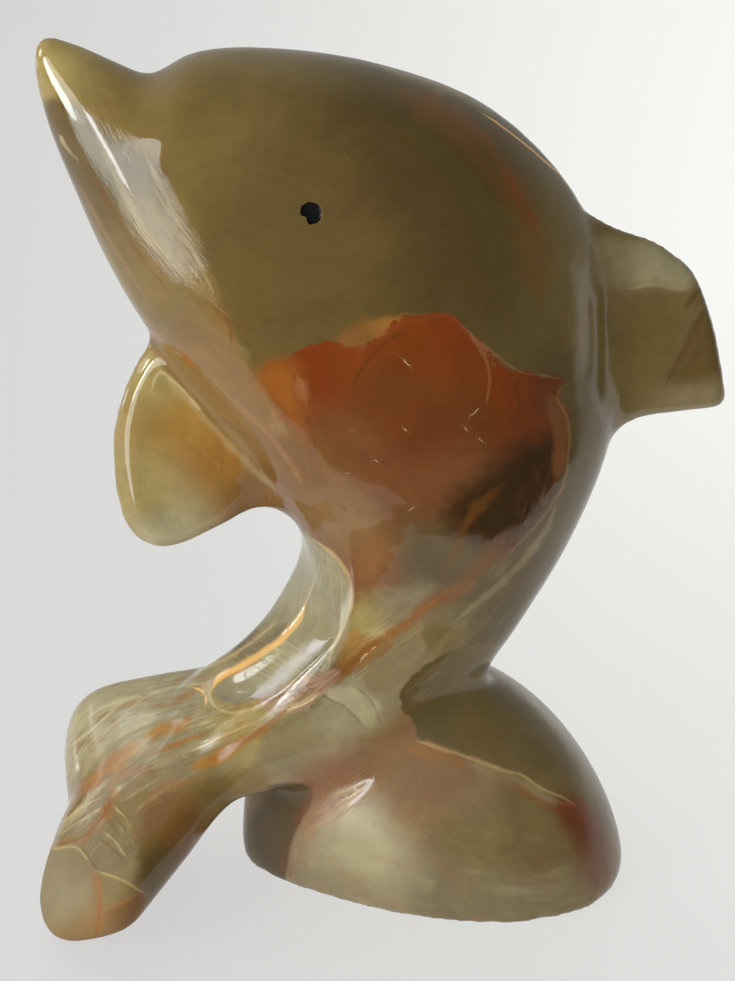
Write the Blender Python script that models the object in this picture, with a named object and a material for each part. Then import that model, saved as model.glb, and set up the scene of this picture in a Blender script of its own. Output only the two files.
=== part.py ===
"""Onyx dolphin sculpture: a leaping dolphin and the rock it springs from, carved from one block.

Metres, +Z up. The origin is the middle of the rock's flat underside. The beak points to -X, the
back fin to +X, and y = 0 is the plane in which the body curls. The dolphin is a free form, so its
outlines are hundredths of HEIGHT. The rock, the fins' thicknesses, the spans and the eyes' pits
have sizes of their own.
"""

import math

import bmesh
import bpy
import numpy as np
from mathutils import Matrix, Vector

# Driving dimensions
HEIGHT = 0.150  # from the underside to the top of the beak
BODY_WIDTH = 0.049  # across the trunk, where it is widest
CHEST_FIN_THICKNESS = 0.0078
BACK_FIN_THICKNESS = 0.0066
TAIL_SPAN = 0.0600  # across the two lobes of the tail
TAIL_THICKNESS = 0.0145
TAIL_TWIST = math.radians(11)  # the tail turns its belly side towards -Y
ROCK_LENGTH = 0.0698
ROCK_DEPTH = 0.0530
ROCK_HEIGHT = 0.0390
TOE_IN = 0.0008  # how far the rock draws in at its underside
TOE_HEIGHT = 0.002
EYE_DIAMETER = 0.0036
EYE_DEPTH = 0.0011
EYE_FLOOR = 0.65  # the pit's floor as a share of its mouth

# Mesh
VOXEL = 0.0011
SMOOTH_FACTOR = 0.5
SMOOTH_STEPS = 6
BLEND_STEPS = 90
TRIANGLES = 9000
SHARP_EDGE = math.radians(40)
BODY_RINGS = 72
RING_POINTS = 48
RIM_POINTS = 96
RIM_STEPS = 5
ROCK_LEVELS = 26
EYE_SIDES = 14

HUNDREDTH = HEIGHT / 100

# The body from the beak to the tail: the point on the back (x, z), the point on the belly (x, z),
# the width as a share of BODY_WIDTH, where along that line it is widest (-1 belly, +1 back), the
# exponents of the back's and the belly's section (2 is an ellipse, less is a keel, more is flat),
# and the share of TAIL_TWIST.
BODY = [
    (-42.6, 99.7, -42.8, 98.9, 0.03, 0.0, 2.0, 2.0, 0.0),
    (-41.6, 100.3, -43.1, 96.9, 0.085, 0.0, 2.0, 2.0, 0.0),
    (-38.0, 99.0, -42.5, 93.4, 0.20, 0.0, 2.0, 2.0, 0.0),
    (-34.2, 97.1, -41.4, 89.3, 0.33, 0.0, 2.1, 2.0, 0.0),
    (-30.6, 95.8, -39.5, 84.0, 0.46, 0.1, 2.2, 2.0, 0.0),
    (-25.8, 98.1, -36.9, 77.2, 0.61, 0.1, 2.2, 2.0, 0.0),
    (-17.5, 98.2, -33.6, 70.4, 0.78, 0.1, 2.2, 1.9, 0.0),
    (-6.7, 96.4, -29.8, 64.4, 0.93, 0.1, 2.1, 1.8, 0.0),
    (4.7, 92.0, -25.2, 58.0, 1.00, 0.1, 2.0, 1.8, 0.0),
    (13.7, 83.8, -21.2, 52.2, 1.00, 0.05, 1.75, 1.8, 0.0),
    (19.0, 73.8, -18.6, 48.0, 0.95, 0.0, 1.5, 1.9, 0.1),
    (20.9, 63.6, -16.4, 44.6, 0.86, -0.05, 1.45, 2.1, 0.3),
    (20.2, 53.4, -15.2, 41.0, 0.75, -0.05, 1.6, 2.8, 0.6),
    (16.3, 43.0, -15.0, 37.4, 0.64, -0.1, 1.8, 3.8, 0.9),
    (10.6, 33.0, -16.5, 33.7, 0.57, -0.1, 2.0, 4.6, 1.0),
    (4.0, 23.4, -19.2, 29.4, 0.57, 0.0, 2.0, 4.6, 1.0),
    (-5.0, 16.0, -23.0, 25.6, 0.59, 0.1, 2.0, 4.2, 1.0),
    (-16.0, 13.8, -27.5, 22.4, 0.60, 0.1, 2.0, 3.6, 1.0),
    (-27.4, 13.4, -32.2, 18.6, 0.56, 0.1, 2.0, 2.8, 1.0),
]

# The fins' outlines in the mid-plane (x, z), and the place inside the body they thicken towards.
CHEST_FIN = [
    (-30.0, 74.0), (-31.9, 67.8), (-33.9, 64.6), (-35.5, 61.0), (-36.7, 57.0), (-36.9, 53.0),
    (-36.6, 48.6), (-35.6, 45.0), (-33.4, 42.8), (-30.6, 42.5), (-27.2, 43.8), (-23.4, 45.5),
    (-19.8, 46.5), (-16.4, 45.4), (-12.0, 48.0), (-14.0, 56.0), (-20.0, 66.0),
]
CHEST_FIN_ROOT = (-20.0, 56.0)
BACK_FIN = [
    (10.0, 80.0), (17.0, 79.4), (20.5, 78.0), (24.2, 76.8), (27.2, 74.7), (29.5, 72.0),
    (31.0, 68.6), (32.3, 64.8), (33.2, 60.8), (33.9, 57.4), (33.2, 56.2), (30.0, 56.0),
    (26.0, 55.5), (22.6, 54.7), (19.6, 53.2), (12.0, 54.0), (8.0, 68.0),
]
BACK_FIN_ROOT = (16.0, 66.0)

# How thick a fin is at its rim and how far it would swell at its root, as shares of its thickness.
CHEST_FIN_TAPER = (0.8, 1.5)
BACK_FIN_TAPER = (0.7, 1.8)
TAIL_TAPER = (0.8, 1.15)
SWELL_STEPS = (0.3, 0.6, 0.85)  # shares of the way in from the rim to the root

# The tail's lobes seen from above: x in hundredths of HEIGHT, y as a share of half TAIL_SPAN.
TAIL = [
    (-14.0, 0.26), (-20.0, 0.44), (-27.0, 0.62), (-34.0, 0.79), (-40.4, 0.91), (-43.5, 0.85),
    (-44.5, 0.60), (-44.4, 0.32), (-44.2, 0.04), (-45.6, -0.14), (-46.9, -0.36), (-47.7, -0.62),
    (-46.3, -0.85), (-42.8, -0.98), (-38.2, -1.04), (-34.6, -0.90), (-30.3, -0.71),
    (-26.0, -0.51), (-20.0, -0.38), (-14.0, -0.26),
]
TAIL_ROOT = (-29.0, 0.0)
TAIL_HIGH = (-28.7, 15.9)  # the middle of the tail's thickness at its root (x, z)
TAIL_LOW = (-43.7, 8.5)  # and at the notch between the lobes

# The rock's footprint as shares of half its length and half its depth.
ROCK = [
    (0.99, -0.05), (0.93, -0.52), (0.71, -0.88), (0.34, -1.0), (0.02, -0.94), (-0.32, -0.76),
    (-0.60, -0.52), (-0.86, -0.22), (-1.0, 0.10), (-0.90, 0.48), (-0.62, 0.78), (-0.20, 0.97),
    (0.26, 1.0), (0.66, 0.84), (0.92, 0.44),
]
ROCK_POWERS = (2.6, 1.65)  # its profile at the left and at the right (2 is an ellipse, more is boxy)
ROCK_REACH = (-0.12, 0.985)  # the lowest ring, below the cut, and the highest, as shares

# Where one form runs into the next in a long hollow: x, y, z, the reach and the strength.
BLENDS = [
    (-9.0, -9.0, 16.5, 9.0, 1.0),
    (-9.0, 9.0, 16.5, 9.0, 1.0),
    (-17.0, -8.0, 15.5, 7.0, 0.7),
    (-17.0, 8.0, 15.5, 7.0, 0.7),
    (20.5, 0.0, 72.0, 8.0, 0.8),
    (21.0, 0.0, 61.0, 8.0, 0.8),
    (-29.0, 0.0, 62.0, 6.0, 0.5),
    (-24.0, 0.0, 54.0, 6.0, 0.5),
    (-20.0, 0.0, 48.5, 5.0, 0.6),
]

EYE = (-15.9, 84.1)  # (x, z)


def catmull_rom(rows, count, closed=False):
    """Rows of numbers joined by a smooth curve, read at evenly spaced steps."""
    rows = np.array(rows, float)
    if closed:
        ends = np.vstack([rows[-1:], rows, rows[:2]])
        spans = len(rows)
        steps = np.arange(count) * spans / count
    else:
        ends = np.vstack([2 * rows[:1] - rows[1:2], rows, 2 * rows[-1:] - rows[-2:-1]])
        spans = len(rows) - 1
        steps = np.linspace(0, spans, count)
    first = np.minimum(steps.astype(int), spans - 1)
    t = (steps - first)[:, None]
    before, start, end, after = (ends[first + k] for k in range(4))
    slope_in = (end - before) / 2
    slope_out = (after - start) / 2
    return (
        (2 * t**3 - 3 * t**2 + 1) * start
        + (t**3 - 2 * t**2 + t) * slope_in
        + (3 * t**2 - 2 * t**3) * end
        + (t**3 - t**2) * slope_out
    )


def mesh_object(name, points, faces):
    mesh = bpy.data.meshes.new(name)
    mesh.from_pydata([tuple(p) for p in points], [], faces)
    work = bmesh.new()
    work.from_mesh(mesh)
    bmesh.ops.recalc_face_normals(work, faces=work.faces)
    work.to_mesh(mesh)
    work.free()
    built = bpy.data.objects.new(name, mesh)
    bpy.context.scene.collection.objects.link(built)
    return built


def loft(name, rings):
    """Rings of as many points each, joined in order and closed at both ends."""
    count = len(rings[0])
    faces = [tuple(range(count)), tuple(range((len(rings) - 1) * count, len(rings) * count))]
    for r in range(len(rings) - 1):
        for k in range(count):
            here, there = r * count, (r + 1) * count
            after = (k + 1) % count
            faces.append((here + k, here + after, there + after, there + k))
    return mesh_object(name, [p for ring in rings for p in ring], faces)


def body():
    angles = np.arange(RING_POINTS) * 2 * math.pi / RING_POINTS
    rings = []
    for station in catmull_rom(BODY, BODY_RINGS):
        back, belly = station[:2] * HUNDREDTH, station[2:4] * HUNDREDTH
        width, widest, back_power, belly_power, twist = station[4:]
        middle, half = (back + belly) / 2, (back - belly) / 2
        lean = twist * math.tan(TAIL_TWIST)
        ring = []
        for angle in angles:
            along = math.cos(angle)
            power = back_power if along > 0 else belly_power
            span = (1 - widest) if along > 0 else (1 + widest)
            share = widest + span * math.copysign(abs(along) ** (2 / power), along)
            side = math.copysign(abs(math.sin(angle)) ** (2 / power), math.sin(angle))
            y = side * width * BODY_WIDTH / 2
            x, z = middle + half * share - half / np.linalg.norm(half) * lean * y
            ring.append((x, y, z))
        rings.append(ring)
    return loft("body", rings)


def pillow(name, outline, root, thickness, taper, place):
    """A plate with a round rim, thickening from the outline towards its root."""
    rim = catmull_rom(outline, RIM_POINTS, closed=True)
    rim_half, root_half = np.array(taper) * thickness / 2
    layers = []
    for turn in np.linspace(0, math.pi / 2, RIM_STEPS):
        layers.append((rim_half * (1 - math.cos(turn)), rim_half * math.sin(turn), 0.0))
    for inward in SWELL_STEPS:
        layers.append((rim_half, rim_half, inward))
    rings = []
    for side in (1, -1):
        found = []
        for inset, height, inward in layers[0 if side > 0 else 1:]:
            ring = []
            for p in rim:
                out = p - root
                far = np.linalg.norm(out)
                q = root + out * (1 - inset / far) * (1 - inward)
                swell = (root_half - rim_half) * inward**2
                ring.append(place(q[0], q[1], side * (height + swell)))
            found.append(ring)
        rings = found[::-1] + rings if side > 0 else rings + found
    return loft(name, rings)


def mid_plane_fin(name, outline, root, thickness, taper):
    """A fin that stands in the plane in which the body curls."""

    def place(x, z, y):
        return (x, y, z)

    outline, root = np.array(outline) * HUNDREDTH, np.array(root) * HUNDREDTH
    return pillow(name, outline, root, thickness, taper, place)


def chest_fin():
    return mid_plane_fin(
        "chest_fin", CHEST_FIN, CHEST_FIN_ROOT, CHEST_FIN_THICKNESS, CHEST_FIN_TAPER
    )


def back_fin():
    return mid_plane_fin("back_fin", BACK_FIN, BACK_FIN_ROOT, BACK_FIN_THICKNESS, BACK_FIN_TAPER)


def tail():
    outline = np.array(TAIL) * (HUNDREDTH, TAIL_SPAN / 2)
    root = np.array(TAIL_ROOT) * HUNDREDTH
    high, low = np.array(TAIL_HIGH) * HUNDREDTH, np.array(TAIL_LOW) * HUNDREDTH
    slope = (high[1] - low[1]) / (high[0] - low[0])

    def place(x, y, h):
        return (x, y, low[1] + slope * (x - low[0]) + math.tan(TAIL_TWIST) * y + h)

    return pillow("tail", outline, root, TAIL_THICKNESS, TAIL_TAPER, place)


def rock():
    footprint = catmull_rom(ROCK, RING_POINTS, closed=True)
    footprint *= (ROCK_LENGTH / 2, ROCK_DEPTH / 2)
    power_left, power_right = ROCK_POWERS
    rings = []
    for level in np.linspace(*ROCK_REACH, ROCK_LEVELS):
        rise = max(level, 0.0)
        toe = TOE_IN * max(0.0, 1 - rise * ROCK_HEIGHT / TOE_HEIGHT) ** 2
        ring = []
        for x, y in footprint:
            away = math.hypot(x, y)
            right = 0.5 + 0.5 * x / away
            power = power_left + (power_right - power_left) * right
            share = (1 - rise**power) ** (1 / power) * (1 - toe / away)
            ring.append((x * share, y * share, level * ROCK_HEIGHT))
        rings.append(ring)
    return loft("rock", rings)


def modifier(target, kind, **settings):
    made = target.modifiers.new(kind.lower(), kind)
    for name, value in settings.items():
        setattr(made, name, value)
    return made


def joined(base, others):
    for other in others:
        other.hide_render = True
        other.display_type = "WIRE"
        modifier(base, "BOOLEAN", operation="UNION", solver="EXACT", object=other)
    return base


def applied(target):
    """The object with its modifiers made part of its mesh."""
    graph = bpy.context.evaluated_depsgraph_get()
    mesh = bpy.data.meshes.new_from_object(target.evaluated_get(graph))
    target.modifiers.clear()
    target.data = mesh
    return target


def blend_group(target):
    """The vertices near BLENDS, with a weight that fades to nothing at the given reach."""
    group = target.vertex_groups.new(name="blends")
    for vertex in target.data.vertices:
        weight = 0.0
        for x, y, z, reach, strength in BLENDS:
            away = (vertex.co - Vector((x, y, z)) * HUNDREDTH).length / (reach * HUNDREDTH)
            weight = max(weight, strength * (1 - away**2))
        if weight > 0:
            group.add([vertex.index], weight, "REPLACE")
    return group.name


def onyx():
    """Polished brown-green onyx."""
    material = bpy.data.materials.new("onyx")
    material.use_nodes = True
    shader = material.node_tree.nodes["Principled BSDF"]
    shader.inputs["Base Color"].default_value = (0.23, 0.19, 0.09, 1)
    shader.inputs["Roughness"].default_value = 0.12
    shader.inputs["Metallic"].default_value = 0.0
    return material


def cutter(name, build):
    mesh = bpy.data.meshes.new(name)
    work = bmesh.new()
    build(work)
    work.to_mesh(mesh)
    work.free()
    made = bpy.data.objects.new(name, mesh)
    bpy.context.scene.collection.objects.link(made)
    made.hide_render = True
    made.display_type = "WIRE"
    return made


def underside_cutter():
    """A block that leaves the rock a flat underside at z = 0."""
    deep = ROCK_HEIGHT
    wide = 3 * HEIGHT

    def build(work):
        box = Matrix.Diagonal((wide, wide, deep, 1))
        bmesh.ops.create_cube(work, size=1, matrix=Matrix.Translation((0, 0, -deep / 2)) @ box)

    return cutter("underside_cutter", build)


def eye_cutter(target, side):
    """A drill's cone, square to the cheek where a line along Y meets it on the given side."""
    start = Vector((EYE[0] * HUNDREDTH, side * BODY_WIDTH, EYE[1] * HUNDREDTH))
    _, place, normal, _ = target.ray_cast(start, Vector((0, -side, 0)))
    above = EYE_DEPTH
    slope = EYE_DIAMETER / 2 * (1 - EYE_FLOOR) / EYE_DEPTH

    def build(work):
        turned = Vector((0, 0, 1)).rotation_difference(normal).to_matrix().to_4x4()
        bmesh.ops.create_cone(
            work,
            cap_ends=True,
            segments=EYE_SIDES,
            radius1=EYE_DIAMETER / 2 * EYE_FLOOR,
            radius2=EYE_DIAMETER / 2 + slope * above,
            depth=EYE_DEPTH + above,
            matrix=Matrix.Translation(place) @ turned,
        )

    return cutter("eye_cutter", build)


def main():
    for old in list(bpy.data.objects):
        bpy.data.objects.remove(old, do_unlink=True)
    parts = [chest_fin(), back_fin(), tail(), rock()]
    dolphin = applied(joined(body(), parts))
    dolphin.name = "onyx_dolphin"
    modifier(dolphin, "REMESH", mode="VOXEL", voxel_size=VOXEL)
    applied(dolphin)
    modifier(dolphin, "SMOOTH", factor=SMOOTH_FACTOR, iterations=SMOOTH_STEPS)
    blends = blend_group(dolphin)
    modifier(
        dolphin, "SMOOTH", factor=SMOOTH_FACTOR, iterations=BLEND_STEPS, vertex_group=blends
    )
    applied(dolphin)
    modifier(dolphin, "DECIMATE", ratio=TRIANGLES / (2 * len(dolphin.data.polygons)))
    applied(dolphin)
    for tool in (underside_cutter(), eye_cutter(dolphin, -1), eye_cutter(dolphin, 1)):
        modifier(dolphin, "BOOLEAN", operation="DIFFERENCE", solver="EXACT", object=tool)
    applied(dolphin)
    dolphin.data.materials.clear()
    dolphin.data.materials.append(onyx())
    dolphin.data.shade_smooth()
    dolphin.data.set_sharp_from_angle(angle=SHARP_EDGE)


main()
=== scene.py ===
"""Onyx dolphin sculpture: the polished, banded stone on a pale floor. Metres, +Z up."""

import math

import bmesh
import bpy
import numpy as np
from mathutils import Matrix, Vector, noise


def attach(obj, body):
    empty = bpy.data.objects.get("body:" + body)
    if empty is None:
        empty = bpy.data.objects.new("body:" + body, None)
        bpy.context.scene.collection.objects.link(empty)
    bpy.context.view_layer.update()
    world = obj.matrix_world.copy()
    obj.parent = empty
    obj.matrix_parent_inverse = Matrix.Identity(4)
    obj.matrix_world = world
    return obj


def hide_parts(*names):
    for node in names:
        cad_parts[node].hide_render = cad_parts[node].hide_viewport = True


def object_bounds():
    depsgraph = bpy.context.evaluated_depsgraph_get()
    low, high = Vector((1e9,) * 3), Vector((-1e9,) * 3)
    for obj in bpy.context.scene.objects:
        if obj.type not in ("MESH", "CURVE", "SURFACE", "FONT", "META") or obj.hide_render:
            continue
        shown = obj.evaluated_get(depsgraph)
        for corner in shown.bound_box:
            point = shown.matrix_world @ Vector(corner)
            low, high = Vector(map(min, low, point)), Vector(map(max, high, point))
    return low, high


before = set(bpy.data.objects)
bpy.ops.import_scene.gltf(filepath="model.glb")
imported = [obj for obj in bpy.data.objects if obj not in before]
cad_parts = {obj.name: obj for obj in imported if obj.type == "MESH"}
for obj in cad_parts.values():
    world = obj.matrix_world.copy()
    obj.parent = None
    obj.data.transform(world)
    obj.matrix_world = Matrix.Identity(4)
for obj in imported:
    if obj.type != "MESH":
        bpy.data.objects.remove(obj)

CAD_BOX = [list(corner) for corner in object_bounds()]
NODE = "onyx_dolphin"

# Camera: the photograph's angle, in a frame of 735 x 981 pixels
FRAME_WIDTH = 735
FRAME_HEIGHT = 981
CAMERA_AZIMUTH = math.radians(-8.0)
CAMERA_ELEVATION = math.radians(21.0)
CAMERA_DISTANCE = 0.350
CAMERA_TARGET = Vector((-0.01207, 0.0, 0.07202))
FOCAL_PIXELS = 2035.87

# Lights: name, azimuth and elevation in degrees, distance, width, height, tilt in degrees, watts,
# and whether the light falls on matt surfaces, is seen in the polish, or both
PANELS = [
    ("window", -119.5, 0, 0.7, 0.38, 0.90, -8, 4.8, True, True),
    ("window_top", -111, 16, 0.71, 0.18, 0.26, 0, 1.6, False, True),
    ("side_window", -81, 24, 0.8, 0.22, 0.26, 0, 1.6, False, True),
    ("lamp_far", -39, 22.5, 0.91, 0.05, 0.06, 0, 0.04, False, True),
    ("lamp_near", -46.4, -0.7, 0.93, 0.05, 0.09, 0, 0.10, False, True),
    ("fill", -165, 25, 1.4, 1.6, 1.2, 0, 10.0, True, False),
    ("sky", -30, 62, 1.6, 1.8, 1.8, 0, 12.0, True, False),
]
DAYLIGHT = (0.94, 1.0, 0.98)
FLOOR_EDGE = [  # the polish mirrors the floor behind this line
    (-3, -0.36), (-0.121, -0.055), (-0.098, -0.037), (-0.083, -0.050), (-0.068, -0.069),
    (-0.041, -0.078), (-0.020, -0.084), (0.025, -0.070), (0.050, -0.055), (3, 0.47),
]
FLOOR_REACH = 6
FLOOR_NEAR = -3
# painted light: the floor's glow is dimmer at the front left and brighter at the back right
FLOOR_GLOW_DIM = (0.585, 0.58, 0.572, 1)
FLOOR_GLOW_BRIGHT = (0.87, 0.878, 0.838, 1)
FLOOR_FAN = 0.35  # how far in front of the sculpture the lines between its tones meet
FLOOR_LEAN = -0.14
FLOOR_SIDES = (-0.22, 0.24)  # from the dark left to the pale right
FLOOR_DEPTHS = (-0.30, 0.42)  # from the dark front to the pale back
ROOM_FRONT = (0.09, 0.09, 0.09, 1)
ROOM_BACK = (0.38, 0.38, 0.36, 1)
ROOM_DEPTHS = (-0.2, 0.6)

# Mesh
VOXEL = 0.00076
RELAX_STEPS = 9
RELAX_PULL = 0.6
RELAX_PUSH = -0.53

# Eyes: pits drilled square to the cheeks
EYE_PLACE = (-0.02385, 0.12615)  # x and z
EYE_RADIUS = 0.00170
EYE_DEPTH = 0.0010
EYE_WALL = 0.00022
EYE_SKIN = 0.004  # the skin within this reach gives a pit its middle and its direction
EYE_FIELD = 0.006  # nothing farther from its middle changes
EYE_RING = (0.0026, 0.0052)  # the cheek round a pit, which its surface is fitted to
EYE_RING_FIELD = 0.009
EYE_BLEND = 0.0006  # width over which the fitted surface joins the cheek
EYE_CUTS = (0.0040, 0.0032, 0.0026)  # radii within which the mesh is made finer, one after another
EYE_NOTCH = 0.00085  # depth of the chip in a pit's rim
EYE_NOTCH_ANGLE = math.radians(-140)
EYE_NOTCH_WIDTH = 0.45
EYE_RAGS = 0.00014  # unevenness of the rest of the rim
EYE_RAG_SCALE = 2.3
ENAMEL_REACH = 3  # how soon the enamel is full down a pit's wall
MILLIMETRES = 1000

# Hollows in the side that the photograph shows: kind, depth in metres or strength, reach in pixels,
# and an outline or a way in the photograph's frame
CARVINGS = [
    ("dish", 0.0011, 14, [
        (320, 585), (338, 600), (342, 636), (326, 656), (300, 676), (283, 692), (262, 700), (240, 705),
        (220, 704), (209, 692), (220, 676), (250, 661), (278, 642), (296, 622), (308, 600),
    ]),
    ("groove", 0.00020, 6, [(588, 300), (589, 335), (588, 370)]),
    ("groove", 0.00024, 7, [(606, 312), (606, 360), (606, 408)]),
    ("bevel", 0.0009, 17, [
        (160, 330), (150, 345), (137, 365), (124, 392), (117, 418), (116, 445), (119, 475), (126, 508),
        (136, 530), (150, 545),
    ]),
    ("soften", 0.5, 26, [(400, 730), (424, 724), (446, 708), (470, 684), (490, 662)]),
]
SOFTEN_STEPS = 70
FRONT_CELL = 6  # pixels
FRONT_SLACK = 0.007  # what lies farther behind the nearest surface isn't carved

# How squarely the surface faces the camera: where hollows and the bevel set in and are full, and
# where the pattern begins to wander and wanders freely
HOLLOW_FACING = (0.05, 0.30)
RIM_FACING = (-0.3, 0.0)
WANDER_FACING = (0.15, -0.45)

# Colours of the stone, 0 to 255
LIFT = (1.15, 0.97, 0.75)  # how the stone's own red, green and blue differ from how they look
BRIGHTEST = 0.9
MILK = (156, 155, 134)
SAGE = (138, 137, 117)
STRAW = (146, 136, 94)
PUTTY = (125, 118, 95)
ASH = (106, 99, 76)
SAND = (118, 103, 66)
HONEY = (126, 102, 66)
AMBER = (146, 117, 64)
MARIGOLD = (152, 116, 56)
GINGER = (134, 98, 50)
RUSSET = (136, 84, 36)
CARAMEL = (114, 84, 46)
KHAKI = (108, 97, 66)
OLIVE = (103, 92, 58)
BARK = (92, 79, 48)
UMBER = (80, 68, 40)
SMOKE = (86, 76, 50)
PITCH = (54, 38, 18)
CLAY = (120, 96, 68)
SALMON = (124, 90, 62)
ROSE = (106, 70, 44)
COPPER = (112, 55, 18)
BRICK = (98, 56, 27)
HEATHER = (150, 130, 116)
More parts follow.
